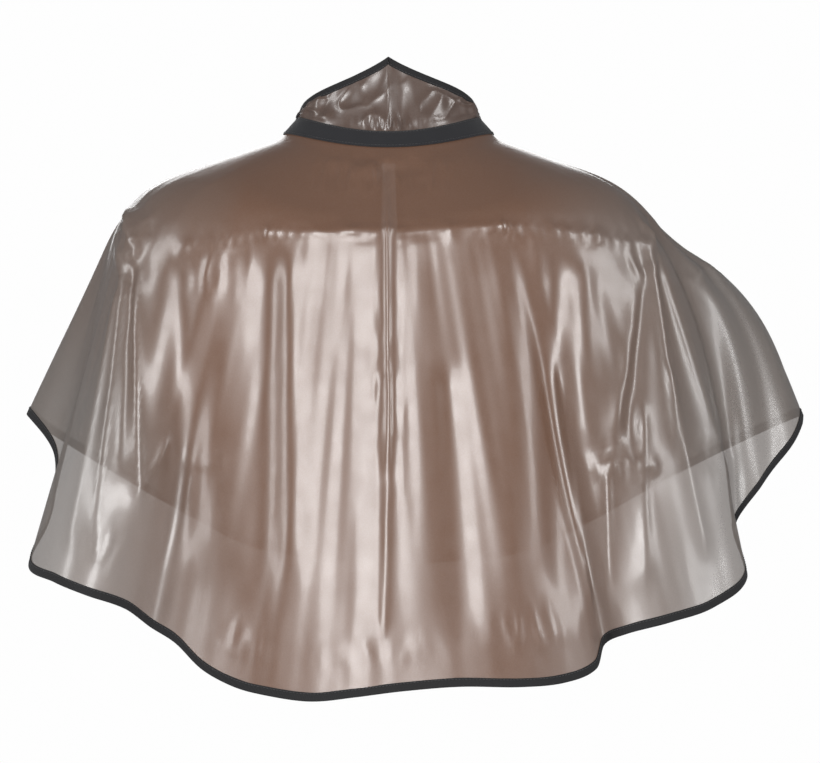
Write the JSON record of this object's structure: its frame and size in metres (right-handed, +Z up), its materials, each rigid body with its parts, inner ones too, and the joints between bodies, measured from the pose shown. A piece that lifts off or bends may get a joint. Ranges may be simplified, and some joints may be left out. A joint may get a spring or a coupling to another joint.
{
  "type": "barber cape",
  "caption": "Short see-through film cape with a pointed stand-up collar flap, dark bound edges and a neckband that closes with a hook-and-loop strap, hanging as worn.",
  "frame": {"origin": "centre of the neckband loop", "axes": "+Z up the neck, wearer faces -Y, wearer's left is +X"},
  "size_m": [0.7303, 0.3632, 0.5828],
  "materials": {
    "film": "satin see-through film",
    "binding": "plain woven bias tape",
    "tape": "soft woven tape",
    "hook": "small nylon hooks",
    "loop": "brushed nylon loops"
  },
  "bodies": {
    "cape": {"cape_sheet": "film", "hem_binding": "binding", "left_front_binding": "binding", "right_front_binding": "binding", "neckband_outer": "tape", "neckband_inner": "tape", "strap_base": "tape", "loop_patch": "loop"},
    "collar": {"collar_sheet": "film", "collar_binding": "binding"},
    "strap": {"strap_tab": "tape", "hook_patch": "hook"}
  },
  "joints": [
    {"name": "collar_fold", "type": "hinge", "parent": "cape", "child": "collar", "pos_m": [0, 0.0649, 0.0015], "axis": [-1, 0, 0], "range_deg": [0, 35]},
    {"name": "strap_peel", "type": "hinge", "parent": "cape", "child": "strap", "pos_m": [-0.00566, -0.07506, -0.01309], "axis": [-0.0327, -0.6683, -0.7431], "range_deg": [0, 120]}
  ]
}
